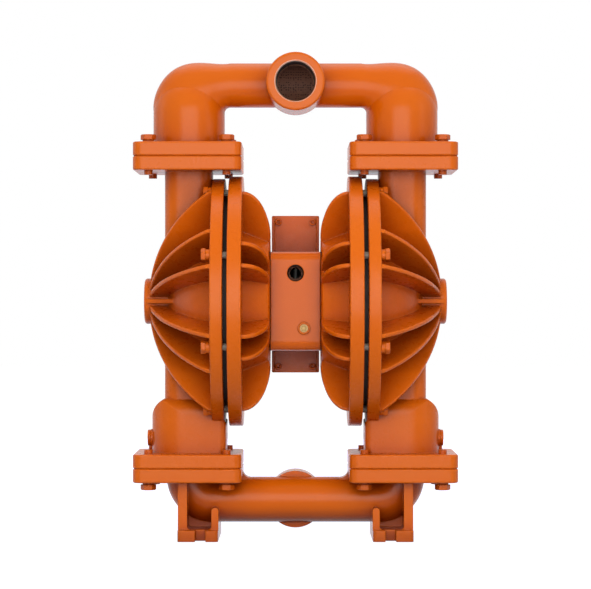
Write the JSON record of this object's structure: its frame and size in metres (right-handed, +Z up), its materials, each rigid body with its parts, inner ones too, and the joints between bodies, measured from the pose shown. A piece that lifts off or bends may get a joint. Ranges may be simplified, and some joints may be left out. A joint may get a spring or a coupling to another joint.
{
  "type": "air operated double diaphragm pump",
  "caption": "Upright air operated diaphragm pump: twin ribbed chambers on a centre block, bent pipe manifolds above and below on square flanges, slotted feet.",
  "frame": {"origin": "floor level under the middle of the pump", "axes": "+Z up, -Y out of the discharge port, +Y out of the inlet port, X along the pump shaft"},
  "size_m": [0.457, 0.356, 0.6878],
  "materials": {
    "painted_casting": "semi-gloss orange paint on cast iron",
    "painted_fastener": "orange paint over plated steel",
    "plated_screw": "zinc plated",
    "black_rubber": "matte moulded rubber",
    "ball_rubber": "smooth moulded rubber",
    "seat_steel": "turned steel",
    "gasket": "matte gasket sheet",
    "piston_iron": "turned cast iron",
    "ground_steel": "ground and polished",
    "bronze_bush": "turned bearing bronze",
    "anodised_sleeve": "hard anodised",
    "brass": "turned, lightly tarnished"
  },
  "bodies": {
    "housing": {"discharge_manifold": "painted_casting", "inlet_manifold": "painted_casting", "liquid_chamber_left": "painted_casting", "liquid_chamber_right": "painted_casting", "air_chamber_left": "painted_casting", "air_chamber_right": "painted_casting", "center_block": "painted_casting", "valve_plate": "painted_casting", "air_valve_body": "painted_casting", "air_valve_cap_top": "painted_casting", "air_valve_cap_bottom": "painted_casting", "rim_bolts_left": "painted_fastener", "rim_bolts_right": "painted_fastener", "discharge_flange_bolts": "painted_fastener", "discharge_flange_washers": "painted_fastener", "inlet_flange_bolts": "painted_fastener", "inlet_flange_washers": "painted_fastener", "air_valve_screws": "painted_fastener", "drain_plugs": "painted_fastener", "block_screws": "plated_screw", "valve_plate_screws": "plated_screw", "valve_cap_screws": "plated_screw", "diaphragm_left": "black_rubber", "diaphragm_right": "black_rubber", "shaft_seal_left": "black_rubber", "shaft_seal_right": "black_rubber", "pilot_sleeve_rings": "black_rubber", "inlet_seat_rings": "black_rubber", "discharge_seat_rings": "black_rubber", "inlet_seat_left": "seat_steel", "inlet_seat_right": "seat_steel", "discharge_seat_left": "seat_steel", "discharge_seat_right": "seat_steel", "block_gaskets": "gasket", "valve_plate_gasket": "gasket", "air_valve_gasket": "gasket", "shaft_bush_left": "bronze_bush", "shaft_bush_right": "bronze_bush", "pilot_sleeve": "anodised_sleeve", "signal_plug": "brass"},
    "shaft": {"main_shaft": "ground_steel", "inner_piston_left": "piston_iron", "inner_piston_right": "piston_iron", "outer_piston_left": "piston_iron", "outer_piston_right": "piston_iron"},
    "pilot": {"pilot_spool": "ground_steel"},
    "spool": {"air_valve_spool": "anodised_sleeve"},
    "inlet_ball_left": {"inlet_ball_left": "ball_rubber"},
    "inlet_ball_right": {"inlet_ball_right": "ball_rubber"},
    "discharge_ball_left": {"discharge_ball_left": "ball_rubber"},
    "discharge_ball_right": {"discharge_ball_right": "ball_rubber"}
  },
  "joints": [
    {"name": "shaft_slide", "type": "slide", "parent": "housing", "child": "shaft", "axis": [1, 0, 0], "range_m": [-0.0225, 0.0225], "deforming": ["diaphragm_left", "diaphragm_right"]},
    {"name": "pilot_slide", "type": "slide", "parent": "housing", "child": "pilot", "axis": [1, 0, 0], "range_m": [-0.009, 0.009]},
    {"name": "air_spool_slide", "type": "slide", "parent": "housing", "child": "spool", "axis": [0, 0, 1], "range_m": [0, 0.014]},
    {"name": "inlet_ball_left_lift", "type": "slide", "parent": "housing", "child": "inlet_ball_left", "axis": [0, 0, 1], "range_m": [0, 0.014]},
    {"name": "inlet_ball_right_lift", "type": "slide", "parent": "housing", "child": "inlet_ball_right", "axis": [0, 0, 1], "range_m": [0, 0.014]},
    {"name": "discharge_ball_left_lift", "type": "slide", "parent": "housing", "child": "discharge_ball_left", "axis": [0, 0, 1], "range_m": [0, 0.014]},
    {"name": "discharge_ball_right_lift", "type": "slide", "parent": "housing", "child": "discharge_ball_right", "axis": [0, 0, 1], "range_m": [0, 0.014]}
  ],
  "couplings": [
    {"joint": "pilot_slide", "follows": "shaft_slide", "ratio": 0.4}
  ]
}
